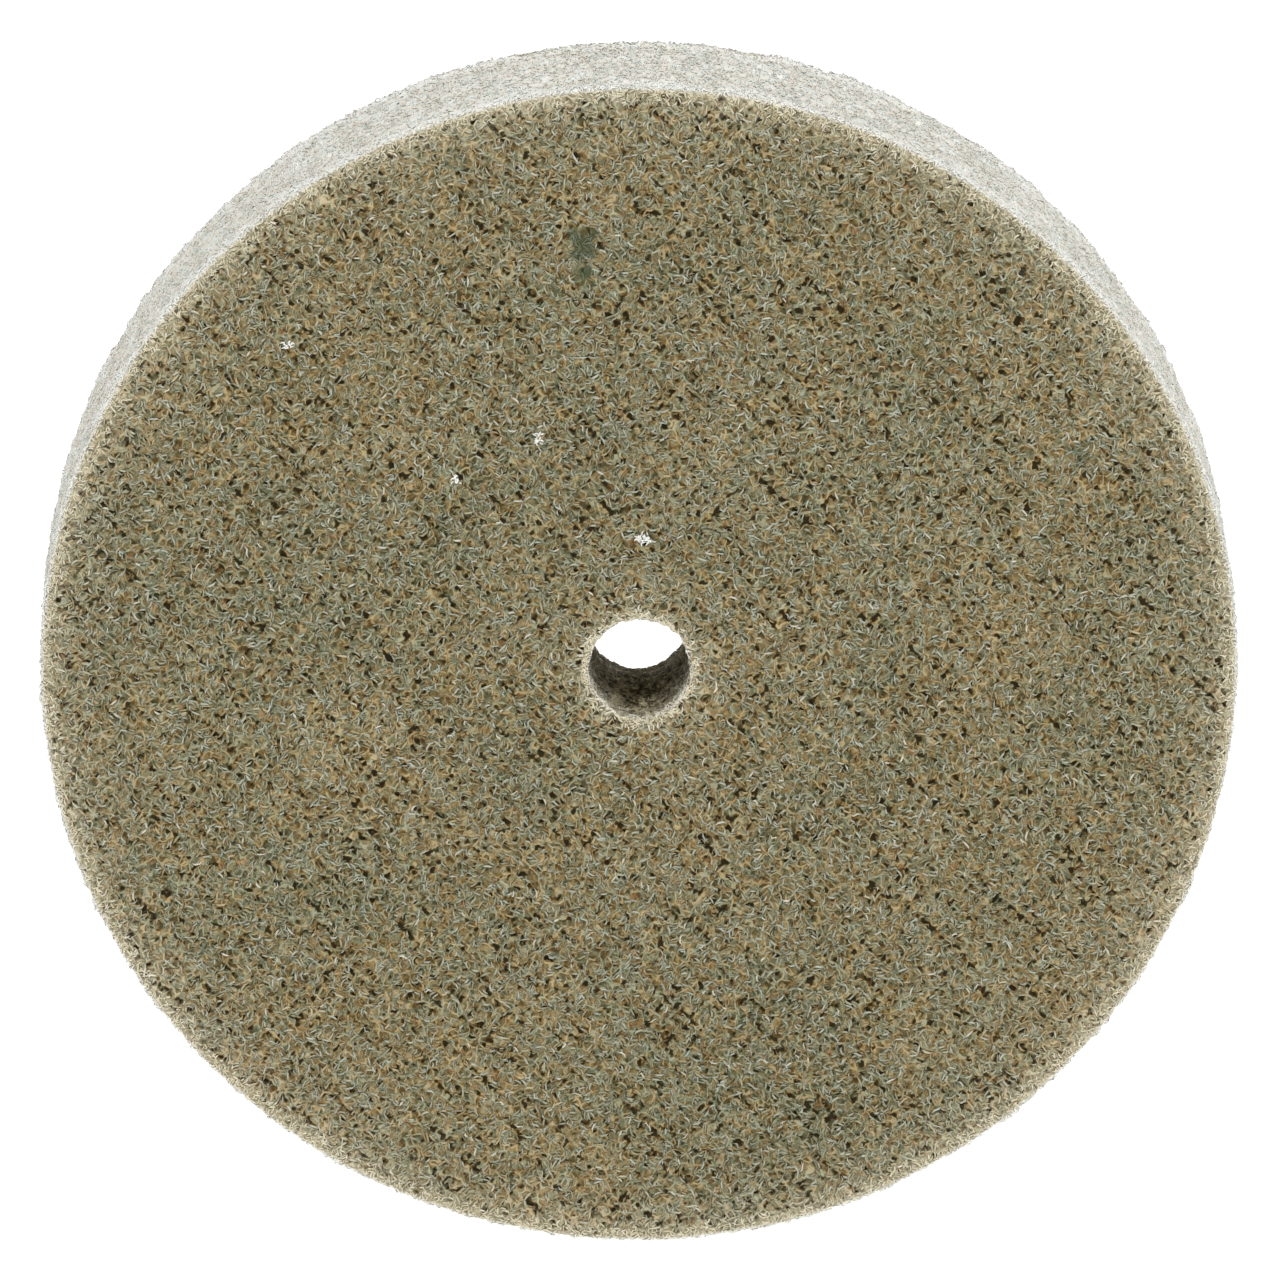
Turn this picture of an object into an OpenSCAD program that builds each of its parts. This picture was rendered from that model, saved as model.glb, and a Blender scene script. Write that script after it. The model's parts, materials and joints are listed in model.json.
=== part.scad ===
// Non-woven polishing wheel: a stack of fibre web plies bonded under pressure,
// die-cut to a disc with a plain arbor bore.
// The wheel's axis lies along Y. The origin is the wheel's centre, and the
// front face looks towards -Y.

/* [Wheel] */
// Outer diameter of the wheel
wheel_d = 152.4; // [50:0.1:300]
// Thickness of the whole wheel, face to face
wheel_t = 25.4; // [16:0.1:50]
// Diameter of the arbor bore
bore_d = 12.7; // [6:0.1:30]
// Radius of the rim's front and rear edges
edge_r = 0.4; // [0.2:0.1:1.6]

/* [Hidden] */
NODES = [
    "front_face_ply",
    "core_ply_1", "core_ply_2", "core_ply_3",
    "core_ply_4", "core_ply_5", "core_ply_6",
    "rear_face_ply"
];

wheel_r = wheel_d / 2;
bore_r = bore_d / 2;
web_w = wheel_r - bore_r;
ply_t = wheel_t / len(NODES);

face_colour = [0.51, 0.48, 0.37];
core_colour = [0.79, 0.78, 0.72];

round_fn = 180;
edge_fn = 48;

// A flat washer-shaped ply, from y = 0 to y = ply_t.
module plain_ply() {
    rotate([-90, 0, 0])
        rotate_extrude($fn = round_fn)
            translate([bore_r, 0])
                square([web_w, ply_t]);
}

// A ply whose rim is rounded at its outer face, which is the one at y = ply_t.
module rounded_ply() {
    rotate([-90, 0, 0])
        rotate_extrude($fn = round_fn) {
            translate([bore_r, 0])
                square([web_w - edge_r, ply_t]);
            translate([bore_r, 0])
                square([web_w, ply_t - edge_r]);
            translate([wheel_r - edge_r, ply_t - edge_r])
                circle(r = edge_r, $fn = edge_fn);
        }
}

// Core plies are counted from the front face towards the rear face.
module core_ply(number) {
    color(core_colour)
        translate([0, number * ply_t - wheel_t / 2, 0])
            plain_ply();
}

module front_face_ply() {
    color(face_colour)
        translate([0, ply_t - wheel_t / 2, 0])
            mirror([0, 1, 0])
                rounded_ply();
}

module core_ply_1() { core_ply(1); }
module core_ply_2() { core_ply(2); }
module core_ply_3() { core_ply(3); }
module core_ply_4() { core_ply(4); }
module core_ply_5() { core_ply(5); }
module core_ply_6() { core_ply(6); }

module rear_face_ply() {
    color(face_colour)
        translate([0, wheel_t / 2 - ply_t, 0])
            rounded_ply();
}

front_face_ply();
core_ply_1();
core_ply_2();
core_ply_3();
core_ply_4();
core_ply_5();
core_ply_6();
rear_face_ply();
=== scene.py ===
"""The looks of a non-woven polishing wheel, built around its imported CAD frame.

The wheel's axis is Y, its front face looks towards -Y, and it stands on its rim.
Each CAD ply is replaced by a web: a closed, lumpy, porous body that follows the ply.
Over the webs lie real fibres, which are short curved strands with pointed ends:
matrix strands that fill the surface, and finer pale strands that catch the light.
"""

import json
import math

import bpy
import numpy as np
from mathutils import Matrix, Vector


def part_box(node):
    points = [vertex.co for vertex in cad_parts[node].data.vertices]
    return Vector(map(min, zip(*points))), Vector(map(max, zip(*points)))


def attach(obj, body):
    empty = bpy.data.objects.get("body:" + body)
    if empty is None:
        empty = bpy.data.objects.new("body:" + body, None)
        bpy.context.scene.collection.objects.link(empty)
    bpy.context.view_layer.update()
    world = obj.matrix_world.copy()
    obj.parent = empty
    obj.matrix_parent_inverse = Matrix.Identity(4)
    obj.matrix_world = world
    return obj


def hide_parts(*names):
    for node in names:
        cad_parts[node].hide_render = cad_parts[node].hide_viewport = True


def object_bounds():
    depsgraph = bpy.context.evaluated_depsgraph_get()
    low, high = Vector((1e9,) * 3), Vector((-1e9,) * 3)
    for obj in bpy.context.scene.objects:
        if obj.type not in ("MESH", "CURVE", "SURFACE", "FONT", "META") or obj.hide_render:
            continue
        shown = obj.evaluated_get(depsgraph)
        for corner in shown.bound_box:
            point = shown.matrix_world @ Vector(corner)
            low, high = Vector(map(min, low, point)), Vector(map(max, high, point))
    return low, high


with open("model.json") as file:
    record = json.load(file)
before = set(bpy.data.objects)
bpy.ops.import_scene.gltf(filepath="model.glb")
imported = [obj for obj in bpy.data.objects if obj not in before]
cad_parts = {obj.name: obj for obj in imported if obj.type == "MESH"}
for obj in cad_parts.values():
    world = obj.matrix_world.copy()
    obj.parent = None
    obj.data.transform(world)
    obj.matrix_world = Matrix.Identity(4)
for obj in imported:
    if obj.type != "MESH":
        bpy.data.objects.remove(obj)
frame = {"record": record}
cad_low, cad_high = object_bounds()

# ---------------------------------------------------------------- dimensions

MM = 0.001
PLIES = ["front_face_ply"] + [f"core_ply_{i}" for i in range(1, 7)] + ["rear_face_ply"]
MOUNTS = {m["name"]: m for m in frame["record"]["mounts"]}

WHEEL_R = cad_high.x
HALF_T = cad_high.y
BORE_R = MOUNTS["arbor_bore"]["dims"]["r_mm"] * MM
EDGE_R = 0.4 * MM
MOUTH_R = 0.5 * MM

# ------------------------------------------------------------ the wheel's skin


def skin_profile():
    """The skin's section in polar form: rows of (s, r, y, outward r, outward y).

    It runs from the bore's middle over the front face and the rim to the rear face,
    and back to the bore's middle, with s the length along it.
    """
    step = 0.05 * MM
    points, normals = [], []

    def straight(a, b, n):
        count = max(2, int(math.dist(a, b) / step))
        for t in np.linspace(0, 1, count, endpoint=False):
            points.append((a[0] + (b[0] - a[0]) * t, a[1] + (b[1] - a[1]) * t))
            normals.append(n)

    def corner(centre, radius, start, end):
        for angle in np.linspace(start, end, 24, endpoint=False):
            n = (math.cos(angle), math.sin(angle))
            points.append((centre[0] + radius * n[0], centre[1] + radius * n[1]))
            normals.append(n)

    quarter = math.pi / 2
    straight((BORE_R, 0), (BORE_R, MOUTH_R - HALF_T), (-1, 0))
    corner((BORE_R + MOUTH_R, MOUTH_R - HALF_T), MOUTH_R, -2 * quarter, -quarter)
    straight((BORE_R + MOUTH_R, -HALF_T), (WHEEL_R - EDGE_R, -HALF_T), (0, -1))
    corner((WHEEL_R - EDGE_R, EDGE_R - HALF_T), EDGE_R, -quarter, 0)
    straight((WHEEL_R, EDGE_R - HALF_T), (WHEEL_R, HALF_T - EDGE_R), (1, 0))
    corner((WHEEL_R - EDGE_R, HALF_T - EDGE_R), EDGE_R, 0, quarter)
    straight((WHEEL_R - EDGE_R, HALF_T), (BORE_R + MOUTH_R, HALF_T), (0, 1))
    corner((BORE_R + MOUTH_R, HALF_T - MOUTH_R), MOUTH_R, quarter, 2 * quarter)
    straight((BORE_R, HALF_T - MOUTH_R), (BORE_R, 0), (-1, 0))
    points, normals = np.array(points), np.array(normals, float)
    s = np.concatenate([[0], np.cumsum(np.linalg.norm(np.diff(points, axis=0), axis=1))])
    return np.column_stack([s, points, normals])


SKIN = skin_profile()
SKIN_END = SKIN[-1, 0]


def skin_at(s):
    """(r, y, outward r, outward y) on the skin at each s."""
    return [np.interp(s, SKIN[:, 0], SKIN[:, k]) for k in range(1, 5)]


def skin_point(s, angle):
    """Points on the skin at s and angle."""
    r, y = skin_at(s)[:2]
    return np.stack([r * np.sin(angle), y, r * np.cos(angle)], axis=-1)


# Where the skin's main stretches begin and end.
FACE_START = HALF_T - MOUTH_R
FACE_END = FACE_START + math.pi / 2 * MOUTH_R + WHEEL_R - EDGE_R - BORE_R - MOUTH_R
RIM_START = FACE_END + math.pi / 2 * EDGE_R
RIM_END = RIM_START + 2 * (HALF_T - EDGE_R)

# --------------------------------------------------------------- random fields


class WaveField:
    """A smooth random field in space: a sum of plane waves, about a wavelength long each.

    It has mean 0 and spread 1, and numpy and the shader nodes compute it alike, so that
    the strands can go round the pores that the web's material shows.
    """

    def __init__(self, seed, wavelength, count):
        rng = np.random.default_rng(seed)
        ways = rng.normal(size=(count, 3))
        ways /= np.linalg.norm(ways, axis=1, keepdims=True)
        self.waves = ways * (2 * math.pi / wavelength) / rng.uniform(0.55, 1.7, (count, 1))
        self.phases = rng.uniform(0, 2 * math.pi, count)
        self.gain = math.sqrt(2 / count)

    def value(self, points):
        return np.sin(points @ self.waves.T + self.phases).sum(axis=-1) * self.gain

    def slope(self, points):
        return np.cos(points @ self.waves.T + self.phases) @ self.waves * self.gain

    def add_nodes(self, tree, position):
        """The same field as a socket of a material's node tree."""
        total = None
        for wave, phase in zip(self.waves, self.phases):
            dot = tree.nodes.new("ShaderNodeVectorMath")
            dot.operation = "DOT_PRODUCT"
            tree.links.new(position, dot.inputs[0])
            dot.inputs[1].default_value = wave
            turned = add_math(tree, "ADD", dot.outputs["Value"], float(phase))
            sine = add_math(tree, "SINE", turned)
            total = sine if total is None else add_math(tree, "ADD", total, sine)
        return add_math(tree, "MULTIPLY", total, self.gain)


PORES = WaveField(5, 1.15 * MM, 36)
SWELLS = WaveField(6, 7.0 * MM, 8)
KNOBS = WaveField(7, 1.9 * MM, 10)

# The openness at which a pore begins and at which it is fully open.
PORE_FROM, PORE_TO = 0.98, 1.65

# The cut amounts between which the pores fade out under frayed fibre.
FRAYED = (0.5, 0.95)

# Heights in millimetres: of the swells and the knobs, what the rim adds to each, and how
# far the bore is worn wide at its two ends.
SWELL_HEIGHT, KNOB_HEIGHT = 0.06, 0.06
RIM_SWELL, RIM_KNOB = 0.03, 0.05
BORE_WEAR_FRONT, BORE_WEAR_REAR = 0.2, 0.42

# How deep the bore's pale mouths reach, in millimetres, above and below, before the wall's
# painted shade takes over, and what is added to that at the sides, where less shade is painted.
UNSHADED_REACH, UNSHADED_REACH_SIDEWAYS = 3.6, 14.0


def smooth_step(low, high, value):
    t = np.clip((value - low) / (high - low), 0, 1)
    return t * t * (3 - 2 * t)


def looseness(points):
    """How much more open the web is than usual, so that pores come in clusters."""
    return 0.3 * KNOBS.value(points) + 0.2 * SWELLS.value(points)


def pore_amount(points):
    """0 on the solid web to 1 in the middle of a pore. Frayed, cut places have none."""
    openness = PORES.value(points) + looseness(points)
    return smooth_step(PORE_FROM, PORE_TO, openness) * (1 - smooth_step(*FRAYED, cut_amount(points)))


def rim_share(points):
    """1 on the rim's cut surface and 0 on the faces, changing over the rounded edge."""
    r = np.hypot(points[..., 0], points[..., 2])
    return smooth_step(WHEEL_R - EDGE_R * 0.5, WHEEL_R - EDGE_R * 0.05, r)


def bore_shade_share(points):
    """0 at the bore's mouths, where the wall is frayed and pale, to 1 deep in the bore, where the
    wall is darkened with painted shade.

    The pale part reaches deeper at the bore's left and right than above and below, so the
    painted shade starts deeper at the sides.
    """
    # The share of painted shade on the bore's wall.
    r = np.hypot(points[..., 0], points[..., 2])
    depth = np.clip(HALF_T - np.abs(points[..., 1]) - 0.6 * MOUTH_R, 0, None)
    sideways = (points[..., 0] / r) ** 2
    reach = (UNSHADED_REACH + UNSHADED_REACH_SIDEWAYS * sideways) * MM
    return (1 - np.exp(-depth / reach)) * (r < BORE_R + 1.2 * MM)


def relief(points):
    """How far the skin stands in or out: broad swells, small knobs, and a bore worn wide to the rear."""
    rim = rim_share(points)
    swells = (SWELL_HEIGHT + RIM_SWELL * rim) * SWELLS.value(points)
    bumps = swells + (KNOB_HEIGHT + RIM_KNOB * rim) * KNOBS.value(points)
    r = np.hypot(points[..., 0], points[..., 2])
    bore = 1 - smooth_step(BORE_R + 0.2 * MM, BORE_R + 0.8 * MM, r)
    rearward = (points[..., 1] + HALF_T) / (2 * HALF_T)
    wear = BORE_WEAR_FRONT + (BORE_WEAR_REAR - BORE_WEAR_FRONT) * rearward
    return MM * (bumps * (1 + 0.6 * bore) - wear * bore)


# The cut amount that marks a face's frayed edge. The rim's is higher.
CREAM_LIMIT = 0.85


def cut_amount(points):
    """How pale the web is from being cut: all over the rim, and less and less beside the edges.

    A steep fall close to each edge and a slow one further in are added together. Beside the
    rim the face is pale partly from cut fibre and partly as a painted highlight on its outer edge.
    """
    r = np.hypot(points[..., 0], points[..., 2])
    from_rim = np.clip(WHEEL_R - r, 0, None) / MM
    from_bore = np.clip(r - BORE_R, 0, None) / MM
    # Partly cut fibre, partly a painted highlight along the face's outer edge.
    rim = 0.8 * np.exp(-from_rim / 0.9) + 0.38 * np.exp(-from_rim / 3.5)
    mouth = 1.1 * np.exp(-from_bore / 0.55) + 0.17 * np.exp(-from_bore / 3.0)
    return np.clip(np.clip(rim + mouth, 0, CREAM_LIMIT) + rim_share(points), 0, 1)


# -------------------------------------------------------------- mesh plumbing


def make_mesh(name, vertices, faces, attributes, uv=None, smooth=None):
    """A mesh object from numpy triangles, with float point attributes.

    uv is per vertex and smooth per face, and both are optional.
    """
    mesh = bpy.data.meshes.new(name)
    mesh.vertices.add(len(vertices))
    mesh.vertices.foreach_set("co", vertices.astype(np.float32).ravel())
    mesh.loops.add(faces.size)
    mesh.loops.foreach_set("vertex_index", faces.astype(np.int32).ravel())
    mesh.polygons.add(len(faces))
    mesh.polygons.foreach_set("loop_start", np.arange(0, faces.size, 3, dtype=np.int32))
    mesh.update(calc_edges=True)
    mesh.polygons.foreach_set("use_smooth", np.ones(len(faces), bool) if smooth is None else smooth)
    for key, values in attributes.items():
        layer = mesh.attributes.new(key, "FLOAT", "POINT")
        layer.data.foreach_set("value", values.astype(np.float32).ravel())
    if uv is not None:
        layer = mesh.uv_layers.new(name="OFBake")
        layer.data.foreach_set("uv", uv[faces.ravel()].astype(np.float32).ravel())
    mesh.validate()
    piece = bpy.data.objects.new(name, mesh)
    bpy.context.scene.collection.objects.link(piece)
    return piece


def zip_rings(first, first_count, second, second_count):
    """Triangles between two rings of any counts. first and second are their first vertex numbers."""
    i = j = 0
    faces = []
    while i < first_count or j < second_count:
        a, b = first + i % first_count, second + j % second_count
        if j >= second_count or (i < first_count and (i + 1) * second_count <= (j + 1) * first_count):
            faces.append((a, first + (i + 1) % first_count, b))
            i += 1
        else:
            faces.append((a, second + (j + 1) % second_count, b))
            j += 1
    return np.array(faces)


# ----------------------------------------------------------------- ply webs

WEB_STEP = 0.47 * MM
SEAM_STRIP = 0.02 * MM
INNER_RINGS = 9
BORE_RINGS = 8
WEB_SINK = 0.2 * MM
PORE_DEPTH = 0.42 * MM


def ring_count(r):
    return max(24, int(round(2 * math.pi * r / WEB_STEP)))


def ply_rings(low_y, high_y):
    """The closed section of one ply, as a list of (r, y, outward r, outward y, is it on the skin).

    A thin strip ends each stretch of skin, so that the skin's shading runs on unbroken
    from ply to ply.
    """
    rings = []

    def stops(start, end, count):
        strip = [start + SEAM_STRIP, end - SEAM_STRIP]
        return np.sort(np.concatenate([np.linspace(start, end, count), strip]))

    def skin_run(s_from, s_to):
        for t in stops(s_from, s_to, int(round((s_to - s_from) / WEB_STEP)) + 1):
            rings.append((*[float(v) for v in skin_at(t)], 1.0))

    def rim_s(at_y):
        return RIM_START + at_y + HALF_T - EDGE_R

    def inner_run(y_at, r_from, r_to):
        for t in np.linspace(0, 1, INNER_RINGS)[1:-1]:
            rings.append((r_from + (r_to - r_from) * t, y_at, 0.0, 0.0, 0.0))

    low_is_face, high_is_face = low_y <= -HALF_T + 1e-6, high_y >= HALF_T - 1e-6
    if low_is_face:
        skin_run(-high_y, rim_s(high_y))
        inner_run(high_y, WHEEL_R, BORE_R)
    elif high_is_face:
        skin_run(rim_s(low_y), SKIN_END - low_y)
        inner_run(low_y, BORE_R, WHEEL_R)
    else:
        skin_run(rim_s(low_y), rim_s(high_y))
        inner_run(high_y, WHEEL_R, BORE_R)
        for at in stops(low_y, high_y, BORE_RINGS)[::-1]:
            rings.append((BORE_R, at, -1.0, 0.0, 1.0))
        inner_run(low_y, BORE_R, WHEEL_R)
    return rings


def make_web(node):
    """The closed web body that stands for one CAD ply."""
    low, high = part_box(node)
    rings = ply_rings(low.y, high.y)
    starts, counts, chunks = [], [], []
    total = 0
    for r, y, nr, ny, on_skin in rings:
        count = ring_count(r)
        angle = math.pi + 2 * math.pi * np.arange(count) / count
        base = np.stack([r * np.sin(angle), np.full(count, y), r * np.cos(angle)], axis=-1)
        out = np.stack([nr * np.sin(angle), np.full(count, ny), nr * np.cos(angle)], axis=-1)
        chunks.append((base, out, np.full(count, on_skin)))
        starts.append(total)
        counts.append(count)
        total += count
    base, out, on_skin = (np.concatenate(c) for c in zip(*chunks))
    pore = pore_amount(base)
    lift = (relief(base) - PORE_DEPTH * pore - WEB_SINK) * on_skin
    vertices = base + out * lift[:, None]
    faces = []
    for k in range(len(rings)):
        n = (k + 1) % len(rings)
        faces.append(zip_rings(starts[k], counts[k], starts[n], counts[n]))
    faces = np.concatenate(faces)
    attributes = {"cut": cut_amount(base), "bore": bore_shade_share(base), "loose": looseness(base)}
    smooth = on_skin[faces].min(axis=1) > 0
    return make_mesh(node + "_web", vertices, faces, attributes, smooth=smooth)


# --------------------------------------------------------------------- fibres

STRAND_POINTS = 4
# The share of a strand's tone that is painted shade from how deep it lies.
HEIGHT_SHADE_IN_TONE = 0.45
FLATNESS = 0.5

# A strand is kept where the pores under it are shallower than a random limit in this range.
PORE_LIMIT = (0.15, 1.15)

# Each strand's cell in the UV map has an empty border this wide, as a share of the cell.
UV_BORDER = 0.15


def skin_frame(s, angle):
    """The skin's outward normal and its tangents along s and along the angle."""
    nr, ny = skin_at(s)[2:]
    sin, cos, zero = np.sin(angle), np.cos(angle), np.zeros_like(angle)
    normal = np.stack([nr * sin, ny, nr * cos], axis=-1)
    along = np.stack([-ny * sin, nr, -ny * cos], axis=-1)
    around = np.stack([cos, zero, -sin], axis=-1)
    return normal, along, around


def scatter(rng, count, s_range):
    """Even random places, as s and angle, on a stretch of the skin."""
    grid = np.linspace(*s_range, 2000)
    area = np.cumsum(skin_at(grid)[0])
    return np.interp(rng.random(count) * area[-1], area, grid), rng.random(count) * 2 * math.pi


def gather(rng, count, spots, spread):
    """Random places, as s and angle, close round the given (x, z) spots on the front face."""
    spot = spots[rng.integers(0, len(spots), count)] + rng.normal(0, spread, (count, 2))
    s = FACE_END - (WHEEL_R - EDGE_R - np.hypot(spot[:, 0], spot[:, 1]))
    return s, np.arctan2(spot[:, 0], spot[:, 1])


def lay_strands(rng, count, places, length, width, bend, height, dip=0.0, rise=0.0, follow=0.0,
                spread=math.pi / 2):
    """Paths, normals, widths and tones of strands that lie along the skin and go round its pores.

    places gives each strand's start as s and angle, with some to spare. length, width, bend
    and height are (low, high) ranges, with bend the turn in radians from end to end. dip is
    how far both ends sink, rise is how far the strand climbs from end to end, and follow is
    the share that curl along the edges of the pores. spread is how far the others may turn
    from the way of s. A strand's tone is part chance and part how high it lies, so that
    buried strands are darker, as painted shade between the strands.
    """
    s, angle = places
    tries = len(s)
    step = rng.uniform(*length, tries) / (STRAND_POINTS - 1)
    turn = rng.uniform(*bend, tries) * rng.choice([-1, 1], tries)
    free_way = rng.choice([0, math.pi], tries) + rng.uniform(-spread, spread, tries)
    follows = rng.random(tries) < follow
    side = rng.choice([0, math.pi], tries)
    path_s, path_angle = np.empty((tries, STRAND_POINTS)), np.empty((tries, STRAND_POINTS))
    for k in range(STRAND_POINTS):
        path_s[:, k], path_angle[:, k] = s, angle
        normal, along, around = skin_frame(s, angle)
        level = np.cross(normal, PORES.slope(skin_point(s, angle)))
        level_way = np.arctan2((level * around).sum(-1), (level * along).sum(-1)) + side
        way = np.where(follows, level_way, free_way + turn * (k + 0.5) / (STRAND_POINTS - 1))
        s = np.clip(s + step * np.cos(way), 0, SKIN_END)
        angle = angle + step * np.sin(way) / skin_at(s)[0]
    skin = skin_point(path_s, path_angle)
    in_pore = pore_amount(skin).max(axis=1)
    kept = np.flatnonzero(in_pore < rng.uniform(*PORE_LIMIT, tries))[:count]
    skin, normal = skin[kept], skin_frame(path_s[kept], path_angle[kept])[0]
    t = np.linspace(-1, 1, STRAND_POINTS)
    level = rng.random(len(kept))
    base = height[0] + (height[1] - height[0]) * level
    lift = base[:, None] - dip * t**2 + rise * (t + 1) / 2
    centre = skin + normal * (lift + relief(skin))[..., None]
    # Lower strands get darker tones: painted shade.
    tone = (1 - HEIGHT_SHADE_IN_TONE) * rng.random(len(kept)) + HEIGHT_SHADE_IN_TONE * level
    return centre, normal, rng.uniform(*width, len(kept)), tone


def build_strands(name, centre, normal, wide, tone):
    """One mesh of closed, slightly flattened three-sided strands with pointed ends."""
    count, points = centre.shape[:2]
    rings = points - 2
    tangent = np.gradient(centre, axis=1)
    tangent /= np.linalg.norm(tangent, axis=-1, keepdims=True) + 1e-12
    side = np.cross(tangent, normal)
    side /= np.linalg.norm(side, axis=-1, keepdims=True) + 1e-12
    corners = np.radians([90, 210, 330])
    last = 3 * rings + 1
    vertices = np.empty((count, last + 1, 3))
    vertices[:, 0], vertices[:, last] = centre[:, 0], centre[:, -1]
    for k in range(rings):
        for c, corner in enumerate(corners):
            offset = side[:, k + 1] * math.cos(corner) + normal[:, k + 1] * math.sin(corner) * FLATNESS
            vertices[:, 1 + 3 * k + c] = centre[:, k + 1] + offset * (wide / 2)[:, None]
    local = []
    for c in range(3):
        n = (c + 1) % 3
        local.append((0, 1 + n, 1 + c))
        local.append((last, last - 3 + c, last - 3 + n))
        for k in range(rings - 1):
            a, b = 1 + 3 * k + c, 1 + 3 * k + n
            local.append((a, b, a + 3))
            local.append((b, b + 3, a + 3))
    faces = (np.array(local)[None] + (np.arange(count) * (last + 1))[:, None, None]).reshape(-1, 3)
    cells = math.ceil(math.sqrt(count))
    cell = np.stack([np.arange(count) % cells, np.arange(count) // cells], axis=-1) / cells
    along = np.concatenate([[0.0], np.repeat((np.arange(rings) + 0.5) / rings, 3), [1.0]])
    round_it = np.concatenate([[0.5], np.tile([0.0, 0.5, 1.0], rings), [0.5]])
    inset = UV_BORDER + (1 - 2 * UV_BORDER) * np.stack([along, round_it], axis=-1)
    uv = (cell[:, None, :] + inset[None] / cells).reshape(-1, 2)
    flat = vertices.reshape(-1, 3)
    attributes = {
        "tone": np.repeat(tone, last + 1),
        "cut": cut_amount(flat),
        "bore": bore_shade_share(flat),
    }
    return make_mesh(name, flat, faces, attributes, uv)


# ------------------------------------------------------------------ materials


# The Mix node's sockets that carry a colour mix.
MIX_FACTOR, MIX_A, MIX_B, MIX_RESULT = 0, 6, 7, 2


def new_material(name):
    material = bpy.data.materials.new(name)
    material.use_nodes = True
    tree = material.node_tree
    shader = tree.nodes["Principled BSDF"]
    return material, tree, shader


def link(tree, a, b):
    tree.links.new(a, b)


def add_attribute(tree, name):
    node = tree.nodes.new("ShaderNodeAttribute")
    node.attribute_name = name
    return node.outputs["Fac"]


def add_ramp(tree, factor, stops):
    node = tree.nodes.new("ShaderNodeValToRGB")
    ramp = node.color_ramp
    while len(ramp.elements) < len(stops):
        ramp.elements.new(0.5)
    for element, (at, colour) in zip(ramp.elements, stops):
        element.position = at
        element.color = (*colour, 1)
    link(tree, factor, node.inputs["Fac"])
    return node.outputs["Color"]


def add_noise(tree, scale, detail=2.0, seed=0.0, stretch=1.0):
    """Noise in object space.

    scale is in features per metre, seed picks another place to read, and stretch draws the
    features out along the wheel's axis. The noise's own grid is turned away from the axes,
    so that it doesn't show on the rim or the faces.
    """
    place = tree.nodes.new("ShaderNodeMapping")
    place.inputs["Location"].default_value = (seed, 0.7 * seed, 0.3 * seed)
    place.inputs["Rotation"].default_value = (0.5, 0.7, 0.9)
    place.inputs["Scale"].default_value = (1, 1 / stretch, 1)
    link(tree, add_position(tree), place.inputs["Vector"])
    node = tree.nodes.new("ShaderNodeTexNoise")
    node.inputs["Scale"].default_value = scale
    node.inputs["Detail"].default_value = detail
    link(tree, place.outputs["Vector"], node.inputs["Vector"])
    return node.outputs["Fac"]


def add_mix(tree, factor, a, b):
    node = tree.nodes.new("ShaderNodeMix")
    node.data_type = "RGBA"
    for value, socket in ((factor, MIX_FACTOR), (a, MIX_A), (b, MIX_B)):
        if isinstance(value, (int, float)):
            node.inputs[socket].default_value = value
        elif isinstance(value, tuple):
            node.inputs[socket].default_value = (*value, 1)
        else:
            link(tree, value, node.inputs[socket])
    return node.outputs[MIX_RESULT]


def add_math(tree, operation, a, b=0.0, clamp=False):
    node = tree.nodes.new("ShaderNodeMath")
    node.operation = operation
    node.use_clamp = clamp
    for k, value in enumerate((a, b)):
        if isinstance(value, (int, float)):
            node.inputs[k].default_value = value
        else:
            link(tree, value, node.inputs[k])
    return node.outputs[0]


def srgb(r, g, b):
    """A linear colour from 0-255 sRGB numbers."""
    out = []
    for v in (r, g, b):
        v /= 255
        out.append(v / 12.92 if v <= 0.04045 else ((v + 0.055) / 1.055) ** 2.4)
    return tuple(out)


# The mat's colours from its buried fibres, darkened as painted shade, to its topmost, in brown places
# and in olive ones.
BROWN_MAT = [(0.0, srgb(84, 64, 31)), (0.3, srgb(130, 110, 69)), (0.7, srgb(160, 142, 102)),
             (1.0, srgb(190, 176, 140))]
OLIVE_MAT = [(0.0, srgb(69, 67, 43)), (0.3, srgb(110, 112, 86)), (0.7, srgb(144, 146, 121)),
             (1.0, srgb(173, 177, 158))]
CLEAN_FIBRE = [(0.0, srgb(141, 127, 86)), (0.5, srgb(150, 150, 129)), (0.85, srgb(174, 178, 163)),
               (1.0, srgb(212, 205, 187))]
CREAM_FIBRE = [(0.0, srgb(166, 164, 138)), (0.5, srgb(206, 197, 168)), (1.0, srgb(232, 230, 220))]
WHITE_FIBRE = [(0.0, srgb(196, 198, 188)), (0.4, srgb(234, 234, 228))]
CUT_FIBRE = [(0.0, srgb(184, 182, 168)), (0.25, srgb(204, 212, 206)), (0.5, srgb(226, 216, 204)),
             (0.75, srgb(218, 226, 221)), (1.0, srgb(242, 236, 229))]
CUT_HIGHLIGHT = srgb(240, 241, 236)
# The bore wall's mottled ramp, whose dark end is painted shade.
SHADED_WALL = [(0.0, srgb(62, 52, 26)), (0.45, srgb(146, 134, 98)), (1.0, srgb(240, 228, 194))]
SHADE = srgb(44, 36, 18)
RUST = srgb(152, 112, 72)
CREAM = srgb(213, 204, 177)
MOSS = srgb(76, 86, 62)

# Green stains on the front face: (x, z, half width, half height, strength), in millimetres.
STAINS = [(-5.1, 55.8, 1.7, 2.4, 0.75), (-5.2, 52.2, 1.0, 2.0, 0.8),
          (-20.5, 67.5, 1.6, 1.4, 0.35), (57.0, 26.0, 1.5, 1.8, 0.4)]


def add_position(tree):
    return tree.nodes.new("ShaderNodeTexCoord").outputs["Object"]


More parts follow.
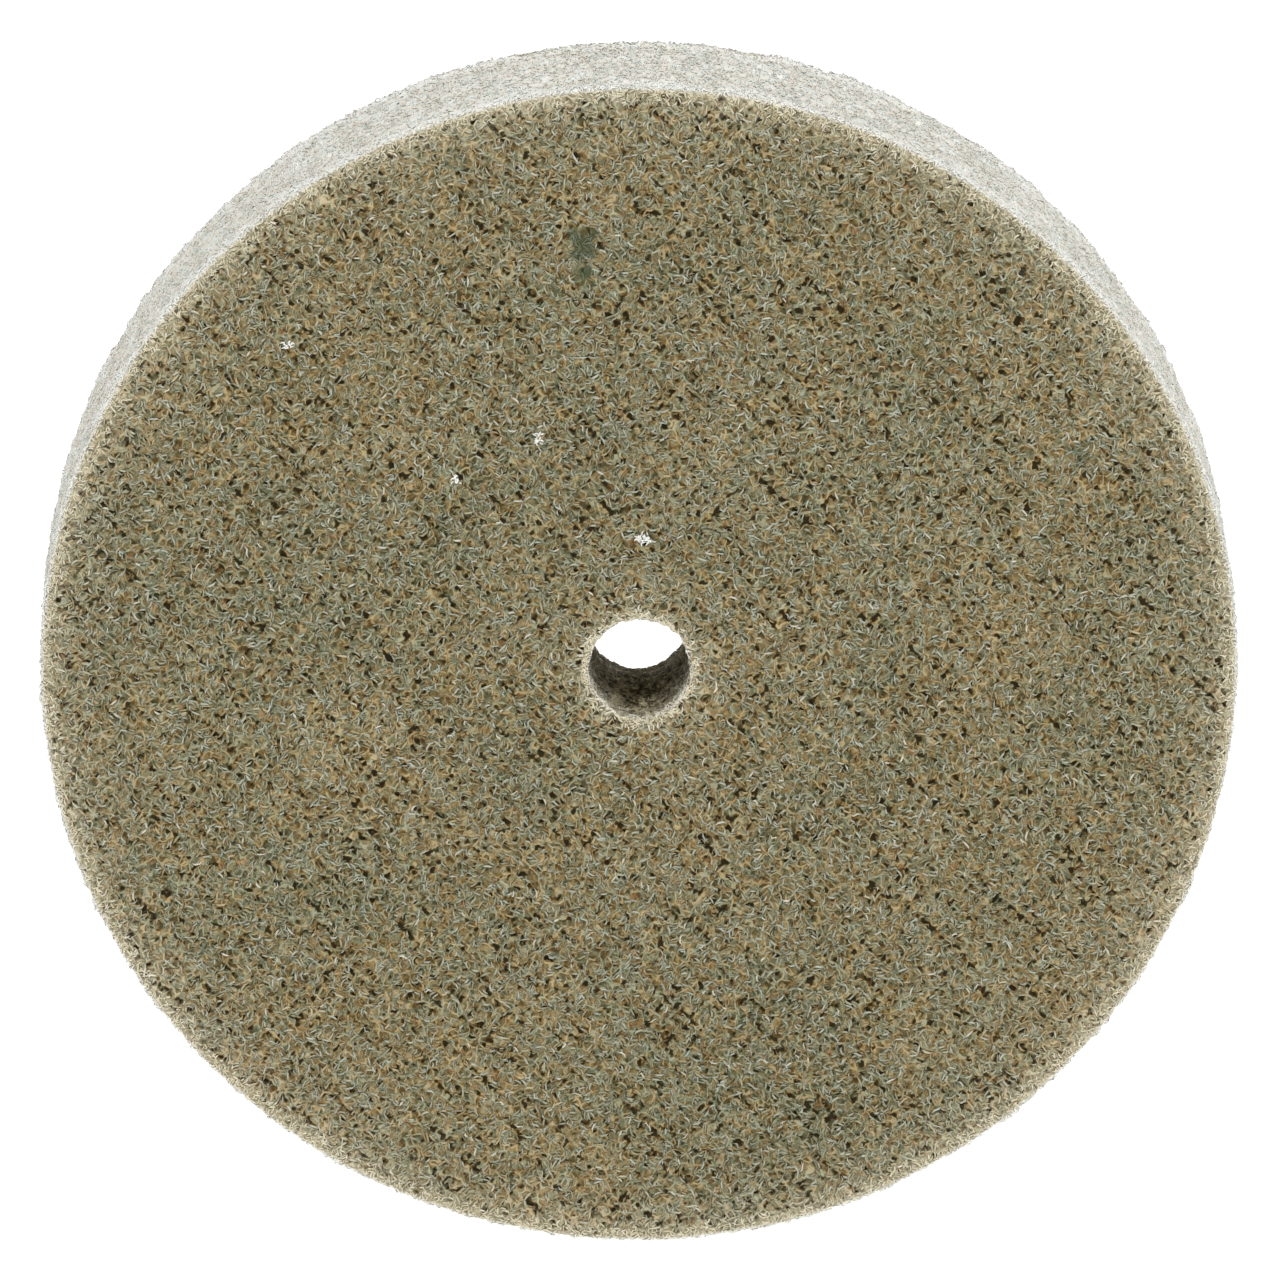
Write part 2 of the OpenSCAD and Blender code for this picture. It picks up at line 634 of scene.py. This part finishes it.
def add_range(tree, value, low, high):
    """0 below low to 1 above high, smoothly."""
    node = tree.nodes.new("ShaderNodeMapRange")
    node.interpolation_type = "SMOOTHSTEP"
    node.inputs["From Min"].default_value = low
    node.inputs["From Max"].default_value = high
    link(tree, value, node.inputs["Value"])
    return node.outputs["Result"]


def add_sum(tree, start, *terms):
    """start plus each (value, weight) term's product."""
    total = start
    for value, weight in terms:
        total = add_math(tree, "ADD", add_math(tree, "MULTIPLY", value, weight), total)
    return total


def add_vector(tree, operation, a, b, output="Vector"):
    node = tree.nodes.new("ShaderNodeVectorMath")
    node.operation = operation
    link(tree, a, node.inputs[0])
    node.inputs[1].default_value = b
    return node.outputs[output]


def add_stain(tree):
    """How green each place is, from 0 to 1, in ragged spots on the front face."""
    ragged = add_noise(tree, 600, 3, 8.0)
    total = 0.0
    for x, z, half_width, half_height, strength in STAINS:
        offset = add_vector(tree, "SUBTRACT", add_position(tree), (x * MM, -HALF_T, z * MM))
        scaled = add_vector(tree, "DIVIDE", offset, (half_width * MM, 4 * MM, half_height * MM))
        length = add_vector(tree, "LENGTH", scaled, (0, 0, 0), "Value")
        inside = add_range(tree, add_sum(tree, 0.3, (length, -1), (ragged, 2.2)), 0.0, 0.8)
        total = add_math(tree, "MAXIMUM", total, add_math(tree, "MULTIPLY", inside, strength))
    return total


def add_threads(tree, place, cell, width):
    """1 in the middle of curling threads that run round cells of the given size, and 0 between them."""
    node = tree.nodes.new("ShaderNodeTexVoronoi")
    node.feature = "DISTANCE_TO_EDGE"
    node.inputs["Scale"].default_value = 1 / cell
    link(tree, place, node.inputs["Vector"])
    half = width / 2 / cell
    return add_math(tree, "SUBTRACT", 1.0, add_range(tree, node.outputs["Distance"], 0.3 * half, half))


def warped_position(tree, reach):
    """Object coordinates, pushed about by noise so that straight things curl."""
    node = tree.nodes.new("ShaderNodeTexNoise")
    node.inputs["Scale"].default_value = 1 / (1.1 * MM)
    node.inputs["Detail"].default_value = 0.0
    link(tree, add_position(tree), node.inputs["Vector"])
    push = add_vector(tree, "SUBTRACT", node.outputs["Color"], (0.5, 0.5, 0.5))
    scaled = add_vector(tree, "MULTIPLY", push, (reach, reach, reach))
    total = tree.nodes.new("ShaderNodeVectorMath")
    link(tree, add_position(tree), total.inputs[0])
    link(tree, scaled, total.inputs[1])
    return total.outputs[0]


def mat_colour(tree, tone):
    """The resin-bonded mat: darker where it is buried, as painted shade, brown or olive by place, with
    rusty specks.
    """
    drift = add_noise(tree, 50, 2, 14.0)
    mixed = add_sum(tree, -0.06, (add_noise(tree, 950, 4, 1.0), 1.0), (drift, 0.25))
    patch = add_range(tree, mixed, 0.4, 0.7)
    tone = add_sum(tree, -0.325, (tone, 1.0), (add_noise(tree, 300, 1, 15.0), 0.38), (drift, 0.25))
    colour = add_mix(tree, patch, add_ramp(tree, tone, OLIVE_MAT), add_ramp(tree, tone, BROWN_MAT))
    rust = add_range(tree, add_noise(tree, 650, 1, 3.0), 0.62, 0.78)
    return add_mix(tree, add_math(tree, "MULTIPLY", rust, 0.45), colour, RUST)


def shaded_wall_colour(tree, tone):
    """The bore's mottled wall, darkened with painted shade."""
    mottle = add_sum(tree, -1.66, (add_noise(tree, 850, 3, 9.0, 1.6), 3.6), (tone, 0.5))
    return add_ramp(tree, mottle, SHADED_WALL)


def ragged_share(tree, name, tone, reach):
    """A named attribute from 0 to 1, its change broken up from strand to strand and place to place."""
    share = add_attribute(tree, name)
    chance = add_sum(tree, -0.9, (add_noise(tree, 1000, 2, 12.0), 1.2), (tone, 0.6))
    middle = add_math(tree, "MULTIPLY", share, add_math(tree, "SUBTRACT", 1.0, share))
    ragged = add_sum(tree, share, (add_math(tree, "MULTIPLY", middle, chance), reach))
    return add_math(tree, "ADD", ragged, 0.0, clamp=True)


def cut_colour(tree, tone):
    """The pale cut surface: cream at a frayed edge, off-white on the rim, with a painted highlight
    beside the rim's edges.
    """
    across = tree.nodes.new("ShaderNodeSeparateXYZ")
    link(tree, add_position(tree), across.inputs[0])
    depth = add_math(tree, "SUBTRACT", HALF_T, add_math(tree, "ABSOLUTE", across.outputs["Y"]))
    patch = add_sum(tree, -0.42, (add_noise(tree, 480, 2, 4.0, 2.0), 1.45))
    fibre = add_ramp(tree, add_sum(tree, patch, (tone, 0.5)), CUT_FIBRE)
    # Within 2 to 4.5 mm of each face the rim gets a painted highlight, where light wraps round its
    # edges.
    frayed = add_math(tree, "SUBTRACT", 1.0, add_range(tree, depth, 2 * MM, 4.5 * MM))
    rim = add_mix(tree, add_math(tree, "MULTIPLY", frayed, 0.5), fibre, CUT_HIGHLIGHT)
    on_rim = add_range(tree, add_attribute(tree, "cut"), CREAM_LIMIT - 0.2, 1.0)
    return add_mix(tree, on_rim, CREAM, rim)


def finish_surface(tree, shader, colour, tone):
    """Adds the stains, the cut surface with its painted edge highlight, the bore's wall with its painted
    shade, and a roughness that goes with tone.
    """
    colour = add_mix(tree, add_stain(tree), colour, MOSS)
    cut = ragged_share(tree, "cut", tone, 3.0)
    colour = add_mix(tree, cut, colour, cut_colour(tree, tone))
    bore = ragged_share(tree, "bore", tone, -4.0)
    # The bore's wall goes on here, darkened with painted shade.
    colour = add_mix(tree, bore, colour, shaded_wall_colour(tree, tone))
    link(tree, colour, shader.inputs["Base Color"])
    link(tree, add_sum(tree, 0.93, (tone, -0.25)), shader.inputs["Roughness"])


def web_material():
    """The web under the strands: threads of resin-coated fibre round small pores, darkened with painted
    shade.
    """
    material, tree, shader = new_material("fibre_web")
    place = warped_position(tree, 0.9 * MM)
    tone = add_math(tree, "MULTIPLY", add_range(tree, add_noise(tree, 1500, 2, 5.0), 0.3, 0.75), 0.55)
    threads = add_threads(tree, place, 1.3 * MM, 0.34 * MM)
    tone = add_math(tree, "MAXIMUM", tone, add_math(tree, "MULTIPLY", threads, 0.75))
    pores = PORES.add_nodes(tree, add_position(tree))
    pores = add_math(tree, "ADD", pores, add_attribute(tree, "loose"))
    # Round the pores the mat's tone is lowered: painted shade.
    tone = add_sum(tree, tone, (add_range(tree, pores, PORE_FROM - 0.5, PORE_TO - 0.3), -0.5))
    ragged = add_sum(tree, -0.35, (pores, 1.0), (add_noise(tree, 2600, 1, 16.0), 0.7))
    whole = add_math(tree, "SUBTRACT", 1.0, add_range(tree, add_attribute(tree, "cut"), *FRAYED))
    # Inside the pores the colour goes to SHADE: painted shade in their depths.
    pore_shade = add_math(tree, "MULTIPLY", add_range(tree, ragged, PORE_FROM + 0.1, PORE_TO), whole)
    finish_surface(tree, shader, add_mix(tree, pore_shade, mat_colour(tree, tone), SHADE), tone)
    bump = tree.nodes.new("ShaderNodeBump")
    bump.inputs["Strength"].default_value = 0.8
    bump.inputs["Distance"].default_value = 0.2 * MM
    link(tree, add_noise(tree, 2200, 2, 6.0), bump.inputs["Height"])
    link(tree, bump.outputs[0], shader.inputs["Normal"])
    shader.inputs["Specular IOR Level"].default_value = 0.15
    return material


def matrix_material():
    """Strands sunk in the resin, which share the web's colours."""
    material, tree, shader = new_material("matrix_fibre")
    tone = add_attribute(tree, "tone")
    finish_surface(tree, shader, mat_colour(tree, tone), tone)
    shader.inputs["Specular IOR Level"].default_value = 0.2
    return material


def clean_material(name, stops):
    """Strands that lie clear of the resin, coloured by tone."""
    material, tree, shader = new_material(name)
    tone = add_attribute(tree, "tone")
    finish_surface(tree, shader, add_ramp(tree, tone, stops), tone)
    shader.inputs["Specular IOR Level"].default_value = 0.3
    return material


# ------------------------------------------------------- camera, floor, lights

CAMERA_ELEVATION = math.radians(15.4)
CAMERA_DISTANCE = 29.59 * WHEEL_R
CAMERA_LENS = 495.6
CAMERA_SENSOR = 36.0
CAMERA_ROLL = math.radians(-2.3)
CAMERA_SHIFT = (1.76 / 1280, 2.71 / 1280)
CAMERA_CLIP = 30

FLOOR_R = 12
FLOOR_GLOW = 0.75
SURROUND_LIGHT = 0.5
SOFTBOX_AT = (0.2, -1.3, 2.5)
SOFTBOX_SIZE = 2.0
SOFTBOX_POWER = 62


def make_camera():
    data = bpy.data.cameras.new("camera")
    camera = bpy.data.objects.new("camera", data)
    bpy.context.scene.collection.objects.link(camera)
    back = Vector((0, -math.cos(CAMERA_ELEVATION), math.sin(CAMERA_ELEVATION)))
    turn = (-back).to_track_quat("-Z", "Y").to_matrix().to_4x4()
    roll = Matrix.Rotation(CAMERA_ROLL, 4, "Z")
    camera.matrix_world = Matrix.Translation(back * CAMERA_DISTANCE) @ turn @ roll
    data.sensor_width = CAMERA_SENSOR
    data.lens = CAMERA_LENS
    data.clip_end = CAMERA_CLIP
    data.shift_x, data.shift_y = CAMERA_SHIFT
    bpy.context.scene.camera = camera


def make_floor():
    bpy.ops.mesh.primitive_circle_add(
        vertices=96, radius=FLOOR_R, fill_type="NGON", location=(0, 0, -WHEEL_R))
    floor = bpy.context.object
    floor.name = "floor"
    material, tree, shader = new_material("pale_floor")
    shader.inputs["Base Color"].default_value = (0.8, 0.8, 0.8, 1)
    shader.inputs["Roughness"].default_value = 1.0
    shader.inputs["Specular IOR Level"].default_value = 0.0
    shader.inputs["Emission Color"].default_value = (1, 1, 1, 1)
    shader.inputs["Emission Strength"].default_value = FLOOR_GLOW
    floor.data.materials.append(material)


def make_light(name, at, size, power):
    data = bpy.data.lights.new(name, "AREA")
    data.size = size
    data.energy = power
    light = bpy.data.objects.new(name, data)
    bpy.context.scene.collection.objects.link(light)
    light.location = at
    light.rotation_mode = "QUATERNION"
    light.rotation_quaternion = (-Vector(at)).to_track_quat("-Z", "Y")


def make_world(strength):
    """A soft white surround. The camera sees it white, like the floor."""
    world = bpy.data.worlds.new("surround")
    bpy.context.scene.world = world
    world.use_nodes = True
    tree = world.node_tree
    soft = tree.nodes["Background"]
    soft.inputs["Color"].default_value = (1, 1, 1, 1)
    soft.inputs["Strength"].default_value = strength
    white = tree.nodes.new("ShaderNodeBackground")
    white.inputs["Color"].default_value = (1, 1, 1, 1)
    white.inputs["Strength"].default_value = 1.0
    ray = tree.nodes.new("ShaderNodeLightPath")
    mix = tree.nodes.new("ShaderNodeMixShader")
    link(tree, ray.outputs["Is Camera Ray"], mix.inputs[0])
    link(tree, soft.outputs[0], mix.inputs[1])
    link(tree, white.outputs[0], mix.inputs[2])
    link(tree, mix.outputs[0], tree.nodes["World Output"].inputs["Surface"])


make_camera()
make_floor()
make_world(SURROUND_LIGHT)
make_light("softbox", SOFTBOX_AT, SOFTBOX_SIZE, SOFTBOX_POWER)
bpy.context.scene.view_settings.view_transform = "Standard"

# ------------------------------------------------------------------ the build

WEB = web_material()
MATRIX_FIBRE = matrix_material()
PALE_FIBRE = clean_material("pale_fibre", CLEAN_FIBRE)
EDGE_FIBRE = clean_material("edge_fibre", CREAM_FIBRE)
LINT = clean_material("lint", WHITE_FIBRE)

MATRIX_SHAPE = dict(length=(1.0 * MM, 2.2 * MM), width=(0.24 * MM, 0.4 * MM), bend=(0.3, 2.0),
                    height=(-0.22 * MM, 0.0), dip=0.1 * MM, follow=0.5)
PALE_SHAPE = dict(length=(0.9 * MM, 1.9 * MM), width=(0.22 * MM, 0.34 * MM), bend=(0.4, 2.2),
                  height=(-0.14 * MM, 0.06 * MM), dip=0.12 * MM, follow=0.55)
RIM_SHAPE = dict(length=(0.6 * MM, 1.3 * MM), width=(0.22 * MM, 0.36 * MM), bend=(0.2, 1.4),
                 height=(-0.38 * MM, -0.25 * MM), rise=0.3 * MM, spread=0.9)
EDGE_SHAPE = dict(length=(0.6 * MM, 1.4 * MM), width=(0.18 * MM, 0.28 * MM), bend=(0.3, 1.8),
                  height=(-0.14 * MM, 0.06 * MM), dip=0.12 * MM)
BORE_SHAPE = dict(length=(0.5 * MM, 1.2 * MM), width=(0.14 * MM, 0.24 * MM), bend=(0.3, 1.8),
                  height=(-0.3 * MM, -0.15 * MM), rise=0.34 * MM)
LINT_SHAPE = dict(length=(0.5 * MM, 1.0 * MM), width=(0.16 * MM, 0.26 * MM), bend=(0.5, 2.4),
                  height=(0.0 * MM, 0.14 * MM), dip=0.1 * MM)

# Places are drawn this many times over, because some strands are dropped over pores.
SPARE = 1.7

# Stray tufts of white lint on the front face, as (x, z) in millimetres.
LINT_SPOTS = [(0.8, 17.2), (1.4, 17.0), (1.9, 17.4), (-11.6, 30.8), (-22.2, 25.9), (-42.7, 44.3)]
LINT_SPREAD = 0.25 * MM

# Strands in each piece.
MATRIX_COUNT = 10000
PALE_COUNT = 8000
RIM_COUNT = 14000
EDGE_COUNT = 5500
MOUTH_COUNT = 1000
BORE_COUNT = 3000
LINT_COUNT = 100


def add_piece(piece, material):
    piece.data.materials.append(material)
    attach(piece, "root")
    return piece


def add_strands(name, seed, count, s_range, material, shape):
    rng = np.random.default_rng(seed)
    places = scatter(rng, int(count * SPARE), s_range)
    strands = lay_strands(rng, count, places, **shape)
    add_piece(build_strands(name, *strands), material)


def add_lint():
    rng = np.random.default_rng(90)
    places = gather(rng, int(LINT_COUNT * SPARE), np.array(LINT_SPOTS) * MM, LINT_SPREAD)
    strands = lay_strands(rng, LINT_COUNT, places, **LINT_SHAPE)
    add_piece(build_strands("lint_tufts", *strands), LINT)


def mirrored(s_from, s_to):
    """The stretch of skin on the rear half that matches one on the front half."""
    return SKIN_END - s_to, SKIN_END - s_from


for node in PLIES:
    web = make_web(node)
    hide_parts(node)
    add_piece(web, WEB)

# The stretches of skin that each kind of strand is laid on.
FACE = (FACE_START, FACE_END - 0.1 * MM)
EDGE = (FACE_END - 1.4 * MM, RIM_START + 0.3 * MM)
MOUTH = (FACE_START - 0.6 * MM, FACE_START + 1.5 * MM)
BORE = (0, FACE_START)
RIM = (RIM_START, RIM_END)

for side, seed, place in (("front", 20, lambda *s: s), ("rear", 40, mirrored)):
    for k in range(3):
        add_strands(f"{side}_matrix_fibres_{k + 1}", seed + k, MATRIX_COUNT, place(*FACE),
                    MATRIX_FIBRE, MATRIX_SHAPE)
        add_strands(f"{side}_pale_fibres_{k + 1}", seed + 5 + k, PALE_COUNT, place(*FACE),
                    PALE_FIBRE, PALE_SHAPE)
    add_strands(f"{side}_edge_fibres", seed + 10, EDGE_COUNT, place(*EDGE),
                EDGE_FIBRE, EDGE_SHAPE)
    add_strands(f"{side}_mouth_fibres", seed + 11, MOUTH_COUNT, place(*MOUTH),
                EDGE_FIBRE, EDGE_SHAPE)
    add_strands(f"{side}_bore_fibres", seed + 12, BORE_COUNT, place(*BORE),
                MATRIX_FIBRE, BORE_SHAPE)
for k in range(3):
    add_strands(f"rim_fibres_{k + 1}", 60 + k, RIM_COUNT, RIM, PALE_FIBRE, RIM_SHAPE)
add_lint()
